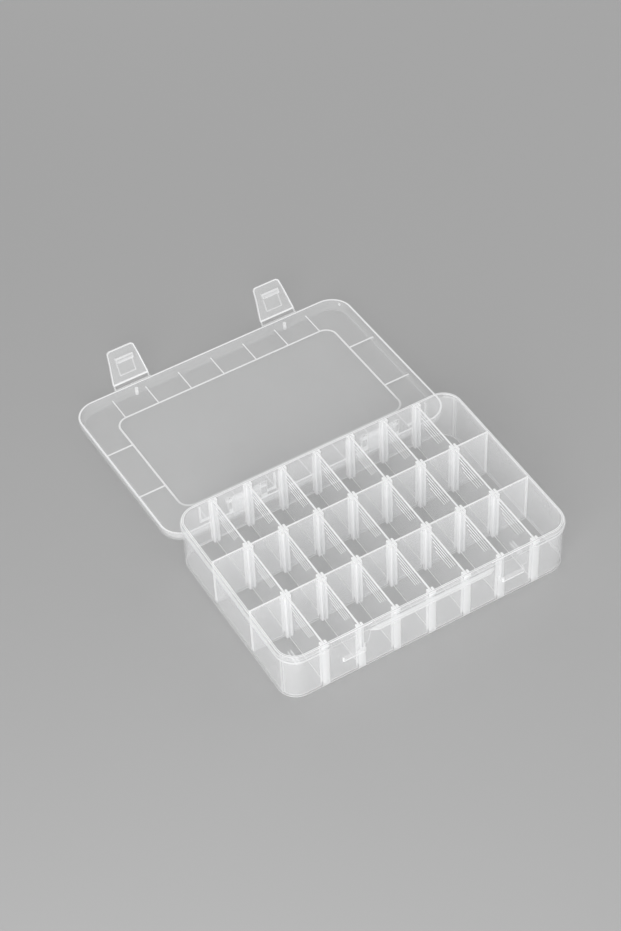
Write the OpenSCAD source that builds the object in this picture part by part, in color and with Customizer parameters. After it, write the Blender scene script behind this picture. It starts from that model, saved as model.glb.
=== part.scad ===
// Compartment box for embroidery thread: a clear tray with two fixed row walls,
// removable dividers in moulded guides, and a hinged lid held by two latches.
// The origin is the middle of the tray's underside, +X along the front, +Y to the lid.
// The lid is drawn open, lying back with its far edge on the table.

/* [Tray] */
// Distance from one divider to the next
column_pitch = 23.75; // [22:0.25:27]
// Clear depth of each row of compartments
row_depth = 41.7; // [38:0.1:46]
// Thickness of the two fixed row walls
row_wall_t = 1.2; // [1:0.1:1.8]
// Height of the tray at its rim
tray_h = 38; // [36:0.5:44]
// Thickness of the outer walls
wall_t = 1.4; // [1.2:0.1:1.8]
// Thickness of the floor
floor_t = 1.4; // [1.2:0.1:2]
// Outer radius of the upright corners
corner_r = 12.4; // [10:0.2:14]
// Radius of the edge round the underside
foot_r = 2.2; // [2:0.1:3]
// How far the collar stands out from the wall
collar_out = 1; // [0.8:0.1:1.4]
// Height of the collar's band
collar_h = 2.5; // [2:0.1:3]
// Depth of the collar's top below the rim
collar_drop = 2; // [1.6:0.1:2.4]

/* [Divider guides] */
// Width of each guide rib
guide_w = 1.5; // [1.2:0.1:2]
// How far a guide rib stands out from its wall
guide_out = 2.4; // [2:0.1:3]
// Play between a divider and its guide, on each side
guide_play = 0.2; // [0.15:0.05:0.3]

/* [Dividers] */
// Thickness of a divider
divider_t = 1.2; // [1:0.1:1.6]
// Depth of a divider's top edge below the rim
divider_drop = 0.4; // [0.3:0.1:2]
// Play at a divider's ends and foot
divider_play = 0.25; // [0.15:0.05:0.4]
// Spacing of the grip lines
grip_pitch = 2.7; // [2:0.1:3]
// Length of the top grip line
grip_length = 26; // [20:0.5:28]

/* [Lid] */
// Thickness of the lid's panel
panel_t = 1.3; // [1:0.1:1.8]
// Height of the bead and ribs inside the lid
rib_h = 1.3; // [1:0.1:1.8]
// Width of the bead and of the ribs at the lid's ends
bead_w = 1.3; // [1:0.1:1.8]
// Width of the ribs along the lid's long sides
rib_w = 0.9; // [0.8:0.1:1.4]
// Distance from the bead's middle to the skirt's inner face
bead_inset = 18.9; // [16:0.1:21]
// Thickness of the lid's skirt
skirt_t = 1.2; // [1:0.1:1.6]
// Play between the lid's skirt and the collar
lid_play = 0.3; // [0.2:0.05:0.4]
// Radius of the lid's outer edge
lid_edge_r = 1.5; // [1.2:0.1:1.8]

/* [Lid hinge] */
// Distance from the middle to each hinge arm
hinge_x = 47.5; // [46:0.5:49]
// Width of a hinge arm
arm_w = 19; // [16:0.5:20]
// Thickness of a hinge arm
arm_t = 1.6; // [1.4:0.1:1.8]
// Depth of the pin below the rim
pin_drop = 13.4; // [12.6:0.1:14]
// Diameter of a pin
pin_d = 2; // [1.8:0.1:2.2]
// Play round a pin
pin_play = 0.1; // [0.05:0.05:0.2]
// Radius of the barrel that carries the pins
barrel_r = 2; // [1.8:0.1:2.1]

/* [Latches] */
// Distance from the middle to each latch
latch_x = 54; // [50:0.5:55]
// Width of a latch at its hinge
latch_root_w = 26; // [24:0.5:28]
// Width of a latch at its tip
latch_tip_w = 18.7; // [17:0.1:21]
// Length of a latch from its hinge to its tip
latch_len = 24.5; // [24:0.5:26]
// Thickness of a latch
latch_t = 1.4; // [1.2:0.1:1.6]
// Radius of the bead on which the film hinge folds
film_r = 0.35; // [0.3:0.05:0.4]
// Distance from the hinge to the hook's bearing face
hook_reach = 16; // [15.8:0.1:16.4]
// Width of a hook
hook_w = 10.5; // [9:0.5:12]
// How far a hook stands in from its latch
hook_out = 3; // [2.6:0.1:3.2]
// Width of a catch
catch_w = 15.4; // [14:0.2:18]
// How far a catch stands out from the tray wall
catch_out = 3.35; // [3:0.05:3.4]
// Angle of the left latch, from hooked
left_angle = 27; // [10:1:80]
// Angle of the right latch, from hooked
right_angle = 33; // [10:1:80]

/* [Hidden] */
$fn = 64;

columns = 8;
rows = 3;
overlap = 0.2;

inner_w = columns * column_pitch;
inner_d = rows * row_depth + (rows - 1) * row_wall_t;
half_w = inner_w / 2;
half_d = inner_d / 2;
inner_r = corner_r - wall_t;
row_pitch = row_depth + row_wall_t;
front_y = -half_d - wall_t;
back_y = half_d + wall_t;
collar_top = tray_h - collar_drop;
collar_foot = collar_top - collar_h;

slot_w = divider_t + 2 * guide_play;
divider_len = row_depth - 2 * divider_play;
divider_foot = floor_t + divider_play;
divider_top = tray_h - divider_drop;
grip_h = 0.4;
grip_out = 0.2;
grip_count = 4;
grip_drop = 2.3;
grip_taper = 3.5;
grip_shift = 2.1;

rib_play = 0.2;
rib_tip = tray_h + rib_play;
panel_in = rib_tip + rib_h;
border_step = 0.4;
border_in = panel_in + border_step;
lid_top = border_in + panel_t;
border_start = 0.6;
skirt_in = wall_t + collar_out + lid_play;
skirt_out = skirt_in + skirt_t;
skirt_lap = 1;
skirt_foot = collar_top - skirt_lap;
bead_r = 8;
bead_shift = 1.85;
rib_reach = 0.35;
side_reach = 2;
peg_d = 2.3;
peg_h = 5;
peg_gap = 0.4;
peg_x = latch_x + 0.5;
nub_d = 1.6;
nub_angle = 325;

barrel_gap = 0.3;
pin_y = back_y + barrel_r + barrel_gap;
pin_z = tray_h - pin_drop;
bore_d = pin_d + 2 * pin_play;
arm_gap = 0.4;
cheek_in_w = 4.1;
cheek_out_w = 2.5;
cheek_boss_r = 2.6;
cheek_foot = 16;
cheek_top = 30;
pin_end = 2.2;
notch_in_reach = 20.2;
notch_out_reach = 32.3;
notch_in = hinge_x - notch_in_reach;
notch_out = hinge_x + notch_out_reach;
shelf_z = 21;
frame_leg = 1.2;
frame_foot_in = 7.4;
frame_foot_out = 13.8;

// The open lid swings a little past level, until its far edge meets the table.
lid_rise = lid_top - pin_z;
lid_reach = pin_y + half_d + skirt_out - lid_edge_r;
lid_droop = asin((pin_z - lid_edge_r - 0.02) / norm([lid_reach, lid_rise - lid_edge_r]))
    - atan2(lid_rise - lid_edge_r, lid_reach);
lid_angle = -(180 + lid_droop);

fold_gap = 0.25;
lip_t = 0.75;
lip_drop = 0.6;
lip_h = 1.4;
fold_y = -half_d - skirt_out - lip_t - fold_gap - film_r;
fold_z = skirt_foot + 0.3;
film_len = 2.2;
film_t = 0.5;
film_side = 0.4;
bend_len = 8;
bend_angle = 9;
tip_r = 2.4;
root_r = 1;
hook_t = 1.8;
hook_foot_t = 3.2;
hook_foot_h = 1.6;
hook_foot_side = 0.95;
recess_w = 12;
recess_depth = 0.4;
recess_root = 1;
recess_end = 0.8;

hook_play = 0.3;
catch_foot = fold_z - hook_reach + hook_play;
catch_face = 3.3;
catch_h = 4.3;
catch_r = 1;
pad_out = 0.4;
pad_foot = 21.4;
pad_top = 27.4;

flange_half = 43.5;
flange_out = 3.05;
flange_taper = 5.5;
flange_drop = 1;
flange_play = 0.3;
flange_step = 0.3;
collar_front = 68;

function column_x(c) = (c - columns / 2) * column_pitch;
function row_y(r) = (1 - r) * row_pitch;

// A flat profile in x and z, swept round a rounded rectangle; x = 0 is the inner wall face
module sweep_round() {
    for (corner = [[1, 1, 0], [-1, 1, 90], [-1, -1, 180], [1, -1, 270]]) {
        translate([corner[0] * (half_w - inner_r), corner[1] * (half_d - inner_r), 0])
            rotate([0, 0, corner[2]])
                rotate_extrude(angle = 90)
                    translate([inner_r, 0]) children();
    }
    for (side = [[1, 0, 0], [-1, 0, 180], [0, 1, 90], [0, -1, 270]]) {
        translate([side[0] * half_w, side[1] * half_d, 0])
            rotate([90, 0, side[2]])
                linear_extrude(
                    height = side[0] == 0 ? inner_w - 2 * inner_r : inner_d - 2 * inner_r,
                    center = true
                ) children();
    }
}

// Wall section from the corner's middle outward: floor, rounded foot and upright wall
module wall_profile() {
    translate([-inner_r, 0]) square([inner_r + wall_t - foot_r, floor_t]);
    translate([0, foot_r]) square([wall_t, tray_h - foot_r]);
    difference() {
        intersection() {
            translate([wall_t - foot_r, foot_r]) circle(r = foot_r);
            translate([wall_t - foot_r, 0]) square([foot_r, foot_r]);
        }
        translate([wall_t - foot_r, floor_t]) square([foot_r - wall_t, foot_r]);
    }
}

module tray_shell() {
    sweep_round() wall_profile();
    translate([-half_w + inner_r, -half_d + inner_r, 0])
        cube([inner_w - 2 * inner_r, inner_d - 2 * inner_r, floor_t]);
}

// Band under the lid's skirt, left out at the hinges and round the latches
module collar() {
    taper = flange_taper * collar_out / flange_out;
    difference() {
        sweep_round()
            translate([wall_t - overlap, collar_foot])
                square([collar_out + overlap, collar_h]);
        for (s = [-1, 1]) {
            translate([s * (notch_in + notch_out) / 2, back_y + collar_out, collar_foot + collar_h / 2])
                cube([notch_out - notch_in, 2 * collar_out, collar_h + 1], center = true);
            translate([0, front_y, collar_foot - 1])
                linear_extrude(height = collar_h + 2)
                    polygon([
                        [s * (flange_half - flange_step), 0],
                        [s * collar_front, 0],
                        [s * (collar_front + 2 * taper), -2 * collar_out],
                        [s * (flange_half - flange_step - 2 * taper), -2 * collar_out]
                    ]);
        }
    }
}

// The collar steps down round each hinge
module hinge_frame(s) {
    leg_x = [notch_in, notch_out - frame_leg];
    foot_w = [frame_foot_in, frame_foot_out];
    foot_x = [notch_in, notch_out - frame_foot_out];
    for (i = [0, 1]) {
        translate([s > 0 ? leg_x[i] : -leg_x[i] - frame_leg, back_y - overlap, shelf_z])
            cube([frame_leg, collar_out + overlap, collar_foot - shelf_z + 1]);
        translate([s > 0 ? foot_x[i] : -foot_x[i] - foot_w[i], back_y - overlap, shelf_z - frame_leg])
            cube([foot_w[i], collar_out + overlap, frame_leg + overlap]);
    }
}

// Cheek that carries one pin, as a side view run along the wall
module cheek(width, low, high) {
    difference() {
        rotate([90, 0, 90])
            linear_extrude(height = width)
                union() {
                    polygon([
                        [back_y - overlap, low],
                        [back_y, low],
                        [pin_y + cheek_boss_r * 0.8, pin_z - cheek_boss_r * 0.6],
                        [pin_y + cheek_boss_r * 0.6, pin_z + cheek_boss_r * 0.8],
                        [back_y, high],
                        [back_y - overlap, high]
                    ]);
                    translate([pin_y, pin_z]) circle(r = cheek_boss_r);
                }
        translate([-1, pin_y, pin_z])
            rotate([0, 90, 0]) cylinder(d = bore_d, h = width + 2);
    }
}

module hinge_cheeks(s) {
    in_x = hinge_x - arm_w / 2 - arm_gap - cheek_in_w;
    out_x = hinge_x + arm_w / 2 + arm_gap;
    translate([s > 0 ? in_x : -in_x - cheek_in_w, 0, 0]) cheek(cheek_in_w, cheek_foot, cheek_top);
    translate([s > 0 ? out_x : -out_x - cheek_out_w, 0, 0]) cheek(cheek_out_w, cheek_foot, cheek_top);
}

module finger_flange() {
    translate([0, front_y, collar_foot - flange_drop])
        linear_extrude(height = skirt_foot - flange_play - collar_foot + flange_drop)
            polygon([
                [-flange_half, overlap],
                [-flange_half, 0],
                [-flange_half + flange_taper, -flange_out],
                [flange_half - flange_taper, -flange_out],
                [flange_half, 0],
                [flange_half, overlap]
            ]);
}

// Catch with a sloping top, and the thin raised pad that widens from it to the rim
module catch_block(x) {
    intersection() {
        translate([x - catch_w / 2, front_y, catch_foot])
            rotate([90, 0, 90])
                linear_extrude(height = catch_w)
                    polygon([
                        [overlap, 0],
                        [-catch_out, 0],
                        [-catch_out, catch_face],
                        [0, catch_h],
                        [overlap, catch_h]
                    ]);
        translate([x, front_y, catch_foot - 1])
            linear_extrude(height = catch_h + 2)
                union() {
                    translate([-catch_w / 2, catch_r - catch_out])
                        square([catch_w, catch_out]);
                    translate([catch_r - catch_w / 2, -catch_out])
                        square([catch_w - 2 * catch_r, catch_out]);
                    for (s = [-1, 1]) {
                        translate([s * (catch_w / 2 - catch_r), catch_r - catch_out])
                            circle(r = catch_r);
                    }
                }
    }
    translate([x, front_y + overlap, 0])
        rotate([90, 0, 0])
            linear_extrude(height = overlap + pad_out)
                polygon([
                    [-pad_foot / 2, catch_foot + catch_face],
                    [pad_foot / 2, catch_foot + catch_face],
                    [pad_top / 2, tray_h],
                    [-pad_top / 2, tray_h]
                ]);
}

// Plan of a pair of guide ribs that stand on a wall along the x axis
module guide_pair() {
    for (s = [-1, 1]) {
        translate([s * (slot_w + guide_w) / 2, 0]) {
            translate([-guide_w / 2, -overlap])
                square([guide_w, guide_out - guide_w / 2 + overlap]);
            translate([0, guide_out - guide_w / 2]) circle(d = guide_w, $fn = 32);
        }
    }
}

// Two fixed row walls and the guides, as one plan raised to the rim
module rows_and_guides() {
    translate([0, 0, floor_t - overlap])
        linear_extrude(height = tray_h - floor_t + overlap)
            union() {
                for (s = [-1, 1]) {
                    translate([-half_w - overlap, s * row_pitch / 2 - row_wall_t / 2])
                        square([inner_w + 2 * overlap, row_wall_t]);
                }
                for (c = [1:columns - 1]) {
                    for (r = [0:rows - 1]) {
                        translate([column_x(c), row_y(r) - row_depth / 2]) guide_pair();
                        translate([column_x(c), row_y(r) + row_depth / 2])
                            mirror([0, 1]) guide_pair();
                    }
                }
            }
}

module tray() {
    color([0.85, 0.86, 0.87, 0.5]) {
        tray_shell();
        collar();
        rows_and_guides();
        finger_flange();
        for (s = [-1, 1]) {
            hinge_frame(s);
            hinge_cheeks(s);
            catch_block(s * latch_x);
        }
    }
}

// Lid section from the corner's middle outward: border panel, rounded edge and skirt
module lid_profile() {
    edge_x = skirt_out - lid_edge_r;
    edge_z = lid_top - lid_edge_r;
    translate([-inner_r, panel_in])
        square([inner_r + border_start, panel_t]);
    translate([border_start - overlap, border_in])
        square([edge_x - border_start + overlap, panel_t]);
    translate([skirt_in, skirt_foot])
        square([skirt_t, edge_z - skirt_foot]);
    intersection() {
        translate([edge_x, edge_z]) circle(r = lid_edge_r);
        translate([edge_x, edge_z]) square(lid_edge_r);
    }
    translate([edge_x - overlap, edge_z - overlap])
        square([overlap + lid_edge_r - 0.5, overlap]);
}

module lid_panel() {
    sweep_round() lid_profile();
    translate([-half_w + inner_r, -half_d + inner_r, panel_in])
        cube([inner_w - 2 * inner_r, inner_d - 2 * inner_r, panel_t]);
}

module rounded_square(w, d, r) {
    square([w - 2 * r, d], center = true);
    square([w, d - 2 * r], center = true);
    for (sx = [-1, 1]) {
        for (sy = [-1, 1]) {
            translate([sx * (w / 2 - r), sy * (d / 2 - r)]) circle(r = r);
        }
    }
}

// Rounded bead inside the lid, with ribs that run out from it at the dividers
module lid_ribs() {
    bead_x = half_w + skirt_in - bead_inset;
    bead_y = bead_x - half_w + half_d - bead_shift;
    rib_end = half_d + rib_reach;
    side_end = half_w + side_reach;
    translate([0, 0, rib_tip])
        linear_extrude(height = rib_h + overlap)
            union() {
                difference() {
                    rounded_square(2 * bead_x + bead_w, 2 * bead_y + bead_w, bead_r + bead_w / 2);
                    rounded_square(2 * bead_x - bead_w, 2 * bead_y - bead_w, bead_r - bead_w / 2);
                }
                for (s = [-1, 1]) {
                    for (c = [1:columns - 1]) {
                        translate([column_x(c) - rib_w / 2, s > 0 ? bead_y : -rib_end])
                            square([rib_w, rib_end - bead_y]);
                    }
                    for (y = [-row_pitch / 2, row_pitch / 2]) {
                        translate([s > 0 ? bead_x : -side_end, y - bead_w / 2])
                            square([side_end - bead_x, bead_w]);
                    }
                }
            }
}

module hinge_arm(s) {
    translate([s * hinge_x - arm_w / 2, pin_y - arm_t / 2, pin_z])
        cube([arm_w, arm_t, skirt_foot + 2 - pin_z]);
    translate([s * hinge_x - arm_w / 2, pin_y, pin_z])
        rotate([0, 90, 0]) cylinder(r = barrel_r, h = arm_w);
    translate([s * hinge_x - arm_w / 2 - pin_end, pin_y, pin_z])
        rotate([0, 90, 0]) cylinder(d = pin_d, h = arm_w + 2 * pin_end);
}

// Lip along the skirt's foot, where a latch hangs on its film
module latch_lip(x) {
    translate([x - latch_root_w / 2, -half_d - skirt_out - lip_t, fold_z - lip_drop])
        cube([latch_root_w, lip_t + overlap, lip_h]);
}

module lid_closed() {
    lid_panel();
    lid_ribs();
    for (s = [-1, 1]) {
        hinge_arm(s);
        latch_lip(s * latch_x);
        // Peg that stands just inside the tray's front wall
        translate([s * peg_x, -half_d + peg_gap + peg_d / 2, panel_in - peg_h])
            cylinder(d = peg_d, h = peg_h + overlap);
    }
    // Nub inside the skirt at the right front corner, above the collar
    translate([half_w - inner_r, -half_d + inner_r, collar_top + 0.2])
        rotate([0, 0, nub_angle])
            translate([inner_r + skirt_in, 0]) cylinder(d = nub_d, h = panel_in - collar_top);
}

// Turns a piece about the lid's pins from its closed place to its place on the open lid
module on_open_lid() {
    translate([0, pin_y, pin_z])
        rotate([lid_angle, 0, 0])
            translate([0, -pin_y, -pin_z]) children();
}

module lid() {
    color([0.85, 0.86, 0.87, 0.5]) on_open_lid() lid_closed();
}

// Latch outline: a tapering plate with rounded corners; x across, y along
module latch_outline() {
    slope = atan2((latch_root_w - latch_tip_w) / 2, latch_len);
    root_x = latch_root_w / 2 - film_len * tan(slope);
    root_cut = root_r / tan(45 - slope / 2);
    tip_x = latch_tip_w / 2;
    tip_cut = tip_r / tan(45 + slope / 2);
    for (s = [-1, 1]) {
        polygon([
            [0, film_len],
            [s * (root_x - root_cut), film_len],
            [s * (root_x - root_cut * sin(slope)), film_len + root_cut * cos(slope)],
            [s * (tip_x + tip_cut * sin(slope)), latch_len - tip_cut * cos(slope)],
            [s * (tip_x - tip_cut), latch_len],
            [0, latch_len]
        ]);
        translate([s * (root_x - root_cut), film_len + root_r]) circle(r = root_r);
        translate([s * (tip_x - tip_cut), latch_len - tip_r]) circle(r = tip_r);
    }
}

// Latch as hooked: the fold is the x axis, the plate hangs down, its inner face is y = 0
module latch_plate() {
    bend_z = -(latch_len - bend_len);
    run = bend_len + 1;
    intersection() {
        translate([-latch_root_w / 2, 0, 0])
            rotate([90, 0, 90])
                linear_extrude(height = latch_root_w)
                    polygon([
                        [0, 0],
                        [0, bend_z],
                        [-run * sin(bend_angle), bend_z - run * cos(bend_angle)],
                        [-run * sin(bend_angle) - latch_t, bend_z - run * cos(bend_angle)],
                        [-latch_t, bend_z],
                        [-latch_t, 0]
                    ]);
        rotate([-90, 0, 0])
            translate([0, 0, -10])
                linear_extrude(height = 20) latch_outline();
    }
}

module latch_body() {
    difference() {
        latch_plate();
        // Shallow recess between the fold and the hook
        translate([-recess_w / 2, -recess_depth, recess_end - hook_reach])
            cube([recess_w, 1, hook_reach - film_len - recess_root - recess_end]);
    }
    // Film and its folding bead
    translate([film_side - latch_root_w / 2, -film_t, -film_len - overlap])
        cube([latch_root_w - 2 * film_side, film_t, film_len + overlap]);
    translate([film_side - latch_root_w / 2, 0, 0])
        rotate([0, 90, 0]) cylinder(r = film_r, h = latch_root_w - 2 * film_side, $fn = 32);
    // Hook bar on its low foot
    translate([-hook_w / 2, -overlap, -hook_reach - hook_t])
        cube([hook_w, hook_out + overlap, hook_t]);
    translate([-hook_w / 2 - hook_foot_side, -overlap, -hook_reach - hook_foot_t])
        cube([hook_w + 2 * hook_foot_side, hook_foot_h + overlap, hook_foot_t]);
}

module latch(x, angle) {
    color([0.85, 0.86, 0.87, 0.5])
        on_open_lid()
            translate([x, fold_y, fold_z])
                rotate([-angle, 0, 0]) latch_body();
}

module latch_left() {
    latch(-latch_x, left_angle);
}

module latch_right() {
    latch(latch_x, right_angle);
}

// Divider plate with fine grip lines below its top edge on both faces, shorter downward
module divider(c, r) {
    color([0.88, 0.89, 0.9, 0.5])
        translate([column_x(c), row_y(r), 0]) {
            translate([-divider_t / 2, -divider_len / 2, divider_foot])
                cube([divider_t, divider_len, divider_top - divider_foot]);
            for (i = [0:grip_count - 1]) {
                translate([0, grip_shift, divider_top - grip_drop - i * grip_pitch])
                    cube([divider_t + 2 * grip_out, grip_length - i * grip_taper, grip_h], center = true);
            }
        }
}

tray();
lid();
latch_left();
latch_right();
divider(1, 0);  // divider_1_back
divider(2, 0);  // divider_2_back
divider(3, 0);  // divider_3_back
divider(4, 0);  // divider_4_back
divider(5, 0);  // divider_5_back
divider(6, 0);  // divider_6_back
divider(7, 0);  // divider_7_back
divider(1, 1);  // divider_1_middle
divider(2, 1);  // divider_2_middle
divider(3, 1);  // divider_3_middle
divider(4, 1);  // divider_4_middle
divider(5, 1);  // divider_5_middle
divider(6, 1);  // divider_6_middle
divider(7, 1);  // divider_7_middle
divider(1, 2);  // divider_1_front
divider(2, 2);  // divider_2_front
divider(3, 2);  // divider_3_front
divider(4, 2);  // divider_4_front
divider(5, 2);  // divider_5_front
divider(6, 2);  // divider_6_front
divider(7, 2);  // divider_7_front
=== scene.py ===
import math

import bpy
from mathutils import Matrix, Vector

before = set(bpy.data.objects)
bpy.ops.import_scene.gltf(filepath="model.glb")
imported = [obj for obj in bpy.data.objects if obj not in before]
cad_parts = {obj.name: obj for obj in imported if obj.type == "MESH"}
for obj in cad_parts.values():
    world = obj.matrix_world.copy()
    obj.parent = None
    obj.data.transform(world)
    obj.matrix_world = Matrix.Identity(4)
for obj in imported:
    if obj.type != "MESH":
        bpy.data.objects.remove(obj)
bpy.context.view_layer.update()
scene = bpy.context.scene
print("thread box: frame loaded,", len(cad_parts), "CAD pieces")


# shader expressions: a Tap is one socket, and sums on Taps add Math nodes

class Tap:
    def __init__(self, graph, socket):
        self.graph, self.socket = graph, socket

    def maths(self, operation, *terms):
        return self.graph.add("ShaderNodeMath", {"operation": operation}, dict(enumerate(terms)))

    def __add__(self, other): return self.maths("ADD", self, other)
    def __radd__(self, other): return self.maths("ADD", other, self)
    def __sub__(self, other): return self.maths("SUBTRACT", self, other)
    def __rsub__(self, other): return self.maths("SUBTRACT", other, self)
    def __mul__(self, other): return self.maths("MULTIPLY", self, other)
    def __rmul__(self, other): return self.maths("MULTIPLY", other, self)
    def __abs__(self): return self.maths("ABSOLUTE", self)

    def above(self, edge, soft=0.1):  # 1 above the edge, 0 below it
        return self.graph.add("ShaderNodeMapRange", {"interpolation_type": "SMOOTHSTEP"},
                              {"Value": self, "From Min": edge - soft / 2, "From Max": edge + soft / 2})

    def below(self, edge, soft=0.1):
        return 1 - self.above(edge, soft)


class Graph:
    def __init__(self, name):
        self.material = bpy.data.materials.new(name)
        self.material.use_nodes = True
        self.tree = self.material.node_tree
        self.tree.nodes.clear()

    def add(self, kind, settings=None, wires=None, out=0):
        node = self.tree.nodes.new(kind)
        for key, value in (settings or {}).items():
            if key == "stops":
                for index, (place, colour) in enumerate(value):
                    stops = node.color_ramp.elements
                    stop = stops[index] if index < 2 else stops.new(place)
                    stop.position, stop.color = place, colour
            else:
                setattr(node, key, value)
        for key, value in (wires or {}).items():
            if isinstance(value, Tap):
                self.tree.links.new(value.socket, node.inputs[key])
            else:
                node.inputs[key].default_value = value
        return Tap(self, node.outputs[out])

    def split(self, vector):
        return [self.add("ShaderNodeSeparateXYZ", None, {"Vector": vector}, out=axis) for axis in range(3)]

    def close(self, shader):
        end = self.tree.nodes.new("ShaderNodeOutputMaterial")
        self.tree.links.new(shader.socket, end.inputs["Surface"])
        return self.material


# milky plastic: places are in millimetres, in each piece's own closed position

milk = {
    "tint": (0.94, 0.945, 0.95, 1.0),
    "ior": 1.49,
    "roughness": 0.3,
    "roughnessDrift": 0.12,
    "cloudScale": 0.03,     # per millimetre
    "cloud": 0.3,           # how far the milkiness drifts
    "shade": 0.5,           # the share of the milkiness that holds light back
    "grainScale": 0.7,
    "grain": 0.05,
    "grainDepth": 0.0002,
    "faceOn": 0.9,          # how squarely a rim's face has to point up or down to get a painted highlight
}


def startPlastic(name):
    g = Graph(name)
    place = g.add("ShaderNodeVectorMath", {"operation": "SCALE"},
                  {0: g.add("ShaderNodeTexCoord", out=3), "Scale": 1000.0})
    normal = g.add("ShaderNodeNewGeometry", out=1)
    return g, place, normal


def turned(g, vector, angle, middle=(0, 0, 0)):  # turned back to the closed position
    return g.add("ShaderNodeVectorRotate", {"rotation_type": "X_AXIS"},
                 {"Vector": vector, "Center": middle, "Angle": math.radians(angle)})


def pastCorner(g, vector):  # distance past a corner, from the distances past its two sides
    positive = g.add("ShaderNodeVectorMath", {"operation": "MAXIMUM"}, {0: vector, 1: (0, 0, 0)})
    return g.add("ShaderNodeVectorMath", {"operation": "LENGTH"}, {0: positive}, out=1)


def lay(alpha, mask, value):
    return alpha + mask * (value - alpha)


def closePlastic(g, place, alpha):
    cloud = g.add("ShaderNodeTexNoise", None, {"Vector": place, "Scale": milk["cloudScale"], "Detail": 3.0})
    grain = g.add("ShaderNodeTexNoise", None, {"Vector": place, "Scale": milk["grainScale"], "Detail": 2.0})
    bump = g.add("ShaderNodeBump", None,
                 {"Height": grain, "Strength": milk["grain"], "Distance": milk["grainDepth"]})
    shadow = g.add("ShaderNodeLightPath", out=1)
    drift = 1 + (cloud - 0.5) * milk["cloud"]
    shader = g.add("ShaderNodeBsdfPrincipled", None, {
        "Base Color": milk["tint"],
        "Roughness": milk["roughness"] + (cloud - 0.5) * milk["roughnessDrift"],
        "IOR": milk["ior"],
        "Alpha": alpha * drift * (1 - shadow * (1 - milk["shade"])),
        "Normal": bump,
    })
    return g.close(shader)


tray = {
    "pitch": 23.75, "rowPitch": 42.9,
    "cornerX": 84.0, "cornerY": 52.75, "cornerR": 11.0,  # middle and radius of the inner corners
    # the walls' rise with height and dip mid-span are painted light and shade
    "middleZ": 19.0, "wallAlpha": 0.24, "wallTopLight": 0.0014,
    "dipFrom": 6.0, "dipSoft": 9.0, "wallMidShade": 0.03,
    "postHalf": 2.4, "postReach": 3.1, "postEndX": 80.0, "postAlpha": 0.6,
    "rimZ": 37.8, "rimHighlightAlpha": 0.95, "rimMiddle": 0.7, "rimHalf": 0.4, "rimDip": 0.45,
    "rowEndX": 94.2, "rowHalf": 1.0, "endAlpha": 0.8,
    # a painted glint down each inner corner of the tray
    "glintLineY": 56.8, "glintHalf": 0.5, "glintAlpha": 0.42,
    "collarFrom": 1.5, "bandAlpha": 0.2, "ledgeAlpha": 0.45, "underAlpha": 0.35,
    "collarFoot": 33.45, "collarFootTop": 33.9, "backY": 64.0, "backAlpha": 0.1,
    "frameY": 65.3, "cheekY": 66.6, "hingeTop": 33.0, "frameAlpha": 0.6, "cheekAlpha": 0.34,
    "seamZ": 2.1, "seamAlpha": 0.5, "floorTop": 2.0, "floorAlpha": 0.07,
    # the tray's foot line is a painted highlight, faded towards the back and right
    "footFrom": 0.7, "footTo": 2.0, "footAlpha": 0.95,
    "fadeX": 90.0, "fadeY": 60.0, "fadeSoft": 8.0, "footHighlightFade": 0.65,
}

catch = {
    "x": 54.0, "half": 7.7, "reach": 8.2, "foot": 19.6, "top": 26.5,
    "wallY": -65.2, "faceY": -67.7, "line": 0.7, "faceAlpha": 0.2, "edgeAlpha": 0.75,
}

mark = {  # short double lines on the floor
    "x": 77.0, "gap": 1.0, "start": -32.4, "end": -44.0, "fade": 4.0, "half": 0.35, "alpha": 0.6,
}


def outward(g, place):  # how far a place is outside the line of the tray's inner walls
    size = g.add("ShaderNodeVectorMath", {"operation": "ABSOLUTE"}, {0: place})
    past = g.add("ShaderNodeVectorMath", {"operation": "SUBTRACT"},
                 {0: size, 1: (tray["cornerX"], tray["cornerY"], 1000.0)})
    return pastCorner(g, past) - tray["cornerR"]


def guidePosts(x, y):  # distances from the columns and rows, and the places of the guides
    column = x.maths("PINGPONG", x, tray["pitch"] / 2)
    row = x.maths("PINGPONG", y - tray["rowPitch"] / 2, tray["rowPitch"] / 2)
    posts = column.below(tray["postHalf"]) * row.below(tray["postReach"]) * abs(x).below(tray["postEndX"])
    return column, row, posts


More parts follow.
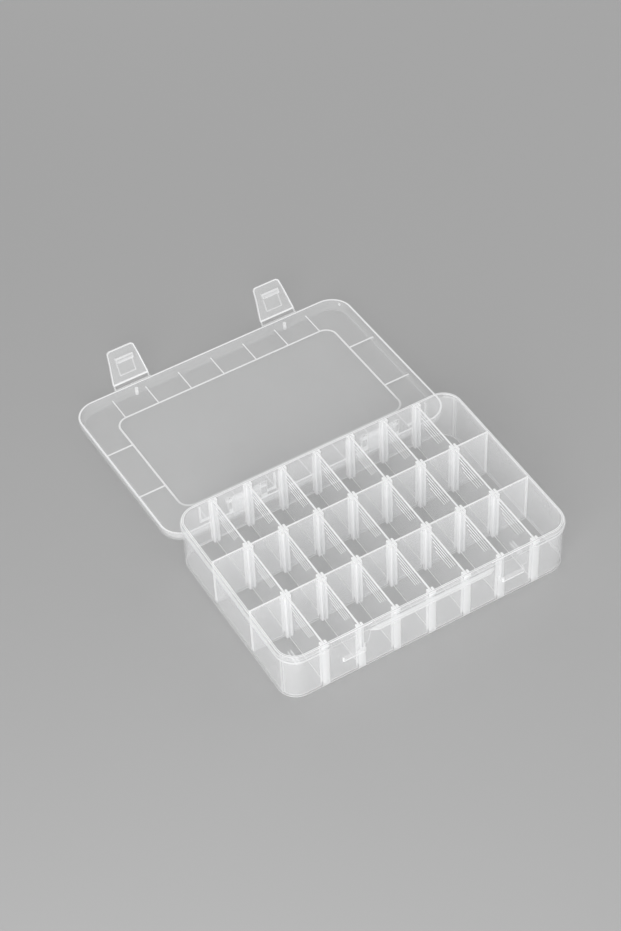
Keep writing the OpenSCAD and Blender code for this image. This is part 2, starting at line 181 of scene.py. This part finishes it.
def trayPlastic():
    g, place, normal = startPlastic("trayPlastic")
    x, y, z = g.split(place)
    up = g.split(normal)[2]
    level = abs(up)
    out = outward(g, place)
    column, row, posts = guidePosts(x, y)

    # inner walls, row walls and guides
    # painted light and shade: walls made whiter toward their tops and less white mid-span between the guides
    alpha = tray["wallAlpha"] + (z - tray["middleZ"]) * tray["wallTopLight"]
    alpha = alpha - column.above(tray["dipFrom"], tray["dipSoft"]) * tray["wallMidShade"]
    # painted glint: a soft vertical light streak where each flat wall meets its corner arc
    cornerGlint = abs(abs(y) - tray["glintLineY"]).below(tray["glintHalf"], 0.5) * abs(x).above(tray["cornerX"])
    alpha = lay(alpha, cornerGlint * out.above(-0.1), tray["glintAlpha"])
    alpha = lay(alpha, posts, tray["postAlpha"])
    rowEnd = abs(x).above(tray["rowEndX"]) * row.below(tray["rowHalf"]) * out.below(-0.05)
    alpha = lay(alpha, rowEnd, tray["endAlpha"])
    alpha = lay(alpha, z.below(tray["seamZ"], 0.3) * level.below(0.5) * out.below(0.05), tray["seamAlpha"])

    # collar and flange
    proud = out.above(tray["collarFrom"])
    alpha = lay(alpha, proud, tray["bandAlpha"])
    alpha = lay(alpha, proud * up.above(0.2, 0.2), tray["ledgeAlpha"])
    alpha = lay(alpha, proud * up.below(-0.4, 0.3), tray["underAlpha"])
    alpha = lay(alpha, proud * z.above(tray["collarFoot"]) * z.below(tray["collarFootTop"]), tray["ledgeAlpha"])
    alpha = lay(alpha, proud * y.above(tray["backY"]), tray["backAlpha"])

    # hinge frames and cheeks
    alpha = lay(alpha, y.above(tray["frameY"]) * z.below(tray["hingeTop"]), tray["frameAlpha"])
    alpha = lay(alpha, y.above(tray["cheekY"]) * z.below(tray["hingeTop"]), tray["cheekAlpha"])

    # catches
    across = abs(abs(x) - catch["x"])
    caught = y.below(catch["wallY"]) * across.below(catch["reach"]) * z.below(catch["top"])
    edge = z.below(catch["foot"] + catch["line"], 0.3)
    edge = edge + abs(across - catch["half"]).below(catch["line"], 0.3) * level.below(0.5)
    alpha = lay(alpha, caught, catch["faceAlpha"])
    alpha = lay(alpha, caught * y.below(catch["faceY"]) * edge, catch["edgeAlpha"])

    # floor and its marks; the foot line and the rim are painted highlights
    alpha = lay(alpha, level.above(0.7, 0.1) * z.below(tray["floorTop"]), tray["floorAlpha"])
    double = abs(abs(abs(x) - mark["x"]) - mark["gap"]).below(mark["half"], 0.2)
    double = double * y.below(mark["start"]) * y.above(mark["end"], mark["fade"])
    alpha = lay(alpha, double * up.above(0.7) * z.below(tray["floorTop"]), mark["alpha"])
    # painted highlight: a bright line along the tray's foot, fading towards the back and right, away from the
    # key light
    footHighlightShare = 1 - x.above(tray["fadeX"], tray["fadeSoft"]) * tray["footHighlightFade"]
    footHighlightShare = footHighlightShare * (1 - y.above(tray["fadeY"], tray["fadeSoft"]) * tray["footHighlightFade"])
    foot = z.below(tray["footTo"], 0.4) * z.above(tray["footFrom"], 0.6) * out.above(0.1)
    alpha = lay(alpha, foot, tray["footAlpha"] * footHighlightShare)
    # painted highlight: the rim's top face is made near-opaque white, as light spreads along the walls, with a
    # dimmer band down its middle
    rim = tray["rimHighlightAlpha"] - abs(out - tray["rimMiddle"]).below(tray["rimHalf"], 0.2) * tray["rimDip"]
    alpha = lay(alpha, up.above(milk["faceOn"]) * z.above(tray["rimZ"]), rim)
    return closePlastic(g, place, alpha)


divider = {
    "middleZ": 19.0, "faceAlpha": 0.12, "faceTopLight": 0.0006, "endAlpha": 0.5,
    "foot": 2.4, "footAlpha": 0.9, "top": 37.5, "topHighlightAlpha": 0.95,
    "gripTop": 35.3, "gripPitch": 2.7, "gripRows": 3.5, "gripHalf": 0.26, "gripLength": 13.0,
    "gripShift": 2.1, "gripTaper": 0.648, "gripAlpha": 1.0, "gapAlpha": 0.0,
}


def dividerPlastic():
    g, place, normal = startPlastic("dividerPlastic")
    x, y, z = g.split(place)
    up = abs(g.split(normal)[2])
    posts = guidePosts(x, y)[2]
    near = x.maths("WRAP", x, tray["pitch"] / 2, -tray["pitch"] / 2).below(0)
    along = abs(x.maths("WRAP", y, tray["rowPitch"] / 2, -tray["rowPitch"] / 2) - divider["gripShift"])
    under = divider["gripTop"] - z  # millimetres under the top grip line
    patch = under.above(-divider["gripPitch"] / 2) * under.below(divider["gripRows"] * divider["gripPitch"])
    patch = patch * (along + under * divider["gripTaper"]).below(divider["gripLength"], 0.6)
    line = x.maths("PINGPONG", under, divider["gripPitch"] / 2).below(divider["gripHalf"], 0.2)
    # painted light: the divider's faces are made whiter toward the top
    alpha = divider["faceAlpha"] + (z - divider["middleZ"]) * divider["faceTopLight"]
    alpha = lay(alpha, posts, divider["endAlpha"])
    alpha = lay(alpha, z.below(divider["foot"], 0.2) * near * up.below(0.5), divider["footAlpha"])
    alpha = lay(alpha, patch, divider["gapAlpha"])
    alpha = lay(alpha, patch * line * near, divider["gripAlpha"])
    # painted highlight: the divider's top edge is made near-opaque white
    alpha = lay(alpha, up.above(milk["faceOn"]) * z.above(divider["top"]), divider["topHighlightAlpha"])
    return closePlastic(g, place, alpha)


lid = {
    "angle": 183.436, "pin": (0, 67.45, 24.6),
    "panelAlpha": 0.135, "skirtFrom": 2.5, "skirtAlpha": 0.18, "lipFrom": 4.0, "lipAlpha": 0.3,
    "stepOut": 0.7, "stepHalf": 0.4, "stepZ": 39.3, "stepAlpha": 0.24, "panelFoot": 39.4,
    "ribFoot": 38.3, "ribAlpha": 0.75, "ribSideAlpha": 0.08, "fadeY": 35.0, "fadeSoft": 20.0, "ribFade": 0.3,
    "armY": 65.2, "armTop": 34.9, "armAlpha": 0.42,
    "peg": (54.5, -62.2, 0), "pegRadius": 1.5, "pegAlpha": 0.5,
    "rimFrom": 34.9, "rimTo": 35.1, "rimHighlightAlpha": 0.9,
}


def lidPlastic():
    g, place, normal = startPlastic("lidPlastic")
    closed = turned(g, place, lid["angle"], lid["pin"])
    x, y, z = g.split(closed)
    up = abs(g.split(turned(g, normal, lid["angle"]))[2])
    out = outward(g, closed)
    inside = out.below(lid["skirtFrom"])
    fromPeg = g.add("ShaderNodeVectorMath", {"operation": "DISTANCE"}, {
        0: g.add("ShaderNodeCombineXYZ", None, {"X": abs(x), "Y": y}), 1: lid["peg"]}, out=1)
    alpha = lay(lid["panelAlpha"], out.above(lid["skirtFrom"]), lid["skirtAlpha"])
    step = abs(out - lid["stepOut"]).below(lid["stepHalf"], 0.3) * z.above(lid["stepZ"])
    alpha = lay(alpha, step, lid["stepAlpha"])
    alpha = lay(alpha, out.above(lid["lipFrom"]), lid["lipAlpha"])
    alpha = lay(alpha, z.below(lid["panelFoot"]) * inside, lid["ribSideAlpha"])
    ribs = lid["ribAlpha"] - y.above(lid["fadeY"], lid["fadeSoft"]) * lid["ribFade"]
    alpha = lay(alpha, z.below(lid["ribFoot"]) * inside, ribs)
    alpha = lay(alpha, y.above(lid["armY"]) * z.below(lid["armTop"]), lid["armAlpha"])
    alpha = lay(alpha, fromPeg.below(lid["pegRadius"]) * z.below(lid["panelFoot"]), lid["pegAlpha"])
    # painted highlight: the lid's rim edge is made near-opaque white
    edge = up.above(milk["faceOn"]) * z.below(lid["rimTo"]) * z.above(lid["rimFrom"]) * out.below(lid["lipFrom"])
    alpha = lay(alpha, edge, lid["rimHighlightAlpha"])
    return closePlastic(g, closed, alpha)


latch = {
    "x": 54.0, "axis": (0, 203.013, 5.741), "left": 27.0, "right": 33.0,
    "root": 13.0, "rootZ": -3.1, "tip": 24.4, "tipRadius": 2.4, "taper": 0.149, "line": 0.6,
    "faceAlpha": 0.18, "edgeAlpha": 0.75,
    "hookHalf": 6.2, "hookAlpha": 0.5,
    "recessHalf": 5.5, "recessTop": -7.0, "recessRoot": -7.1, "recessTip": -15.2,
    "recessLine": 0.3, "recessAlpha": 0.4,
    "filmZ": -2.15, "filmAlpha": 0.03, "stubFrom": 11.6, "stubAlpha": 0.3,
}


def latchPlastic(name, angle):
    g, place, normal = startPlastic(name)
    fromAxis = g.add("ShaderNodeVectorMath", {"operation": "SUBTRACT"}, {0: place, 1: latch["axis"]})
    closed = turned(g, fromAxis, lid["angle"] + angle)
    x, depth, z = g.split(closed)
    across = abs(abs(x) - latch["x"])
    flat = abs(g.split(turned(g, normal, lid["angle"] + angle))[1])

    # the bright line round the tapering plate
    pastEdge = across - z * latch["taper"] - (latch["root"] - latch["tipRadius"])
    pastTip = -1 * z - (latch["tip"] - latch["tipRadius"])
    fromMiddle = pastCorner(g, g.add("ShaderNodeCombineXYZ", None, {"X": pastEdge, "Y": pastTip}))
    border = fromMiddle.above(latch["tipRadius"] - latch["line"], 0.3)

    # faint lines round the recess
    recess = abs(across - latch["recessHalf"]).below(latch["recessLine"], 0.2)
    recess = recess * z.below(latch["recessTop"]) * z.above(latch["recessTip"])
    top = abs(z - latch["recessRoot"]).below(latch["recessLine"], 0.2) * across.below(latch["recessHalf"])
    recess = recess + top

    alpha = lay(latch["faceAlpha"], recess, latch["recessAlpha"])
    alpha = lay(alpha, flat.below(0.5) * across.above(latch["hookHalf"]), latch["edgeAlpha"])
    alpha = lay(alpha, border, latch["edgeAlpha"])
    alpha = lay(alpha, z.above(latch["rootZ"], 0.2), latch["edgeAlpha"])
    alpha = lay(alpha, depth.above(0.1), latch["hookAlpha"])
    film = lay(latch["filmAlpha"], across.above(latch["stubFrom"]), latch["stubAlpha"])
    alpha = lay(alpha, z.above(latch["filmZ"]), film)
    return closePlastic(g, closed, alpha)


finishes = {
    "tray": trayPlastic(),
    "lid": lidPlastic(),
    "latch_left": latchPlastic("leftLatchPlastic", latch["left"]),
    "latch_right": latchPlastic("rightLatchPlastic", latch["right"]),
    "divider": dividerPlastic(),
}
for name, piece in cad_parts.items():
    kind = "divider" if name.startswith("divider") else name
    piece.data.materials.clear()
    piece.data.materials.append(finishes[kind])
print("thread box: plastics assigned")


# floor, light and camera

studio = {
    "floor": 0.43,
    "floorDrift": 0.01,
    "floorSize": 6.0,
    "floorDrop": -0.0003,   # clear of the tray's underside
    "world": 0.4,
    "aim": (0, 0.06, 0),
    "key": (14.5, (-0.75, -0.82, 0.56), 1.0),   # watts, place, size
    "fill": (4.0, (1.1, -0.1, 0.65), 1.0),
    "back": (4.0, (0.3, 1.2, 0.65), 0.9),
}


def studioFloor():
    bpy.ops.mesh.primitive_plane_add(size=studio["floorSize"], location=(0, 0, studio["floorDrop"]))
    floor = bpy.context.object
    floor.name = "studioFloor"
    g = Graph("studioFloorPaper")
    grain = g.add("ShaderNodeTexNoise", None, {"Scale": 3.0, "Detail": 2.0})
    low, high = (studio["floor"] * (1 + side * studio["floorDrift"]) for side in (-1, 1))
    shade = g.add("ShaderNodeValToRGB", {"stops": [(0.0, (low, low, low, 1.0)), (1.0, (high, high, high, 1.0))]},
                  {"Fac": grain})
    floor.data.materials.append(g.close(g.add("ShaderNodeBsdfPrincipled", None, {
        "Base Color": shade, "Roughness": 0.8, "Specular IOR Level": 0.2})))


def studioLights():
    for name in ("key", "fill", "back"):
        watts, place, size = studio[name]
        lamp = bpy.data.lights.new(name + "Softbox", "AREA")
        lamp.energy, lamp.size = watts, size
        lampObject = bpy.data.objects.new(lamp.name, lamp)
        lampObject.location = place
        towards = Vector(studio["aim"]) - Vector(place)
        lampObject.rotation_euler = towards.to_track_quat("-Z", "Y").to_euler()
        scene.collection.objects.link(lampObject)
    world = bpy.data.worlds.new("studioWorld")
    world.use_nodes = True
    background = world.node_tree.nodes["Background"]
    background.inputs["Color"].default_value = (1, 1, 1, 1)
    background.inputs["Strength"].default_value = studio["world"]
    scene.world = world


view = {
    "azimuth": -28.79, "elevation": 47.86, "roll": -2.79,
    "aim": (0.03712, -0.05657), "distance": 1.40462,
    "sensor": 36.0, "focal": 2359.29, "height": 931, "reach": 20.0,  # focal length and height in pixels
}


def photoCamera():
    az, el, roll = (math.radians(view[k]) for k in ("azimuth", "elevation", "roll"))
    back = Vector((math.sin(az) * math.cos(el), -math.cos(az) * math.cos(el), math.sin(el)))
    right = Vector((math.cos(az), math.sin(az), 0))
    up = back.cross(right)
    rolledRight = right * math.cos(roll) + up * math.sin(roll)
    rolledUp = up * math.cos(roll) - right * math.sin(roll)
    tx, ty = view["aim"]
    lens = bpy.data.cameras.new("photoCamera")
    lens.sensor_width = view["sensor"]
    lens.lens = view["focal"] / view["height"] * view["sensor"]
    lens.clip_end = view["reach"]
    camera = bpy.data.objects.new("photoCamera", lens)
    turn = Matrix((rolledRight, rolledUp, back)).transposed().to_4x4()
    camera.matrix_world = Matrix.Translation(back * view["distance"] - rolledRight * tx - rolledUp * ty) @ turn
    scene.collection.objects.link(camera)
    scene.camera = camera


studioFloor()
studioLights()
photoCamera()
scene.view_settings.view_transform = "Standard"
scene.cycles.transparent_max_bounces = 40
print("thread box: studio ready")
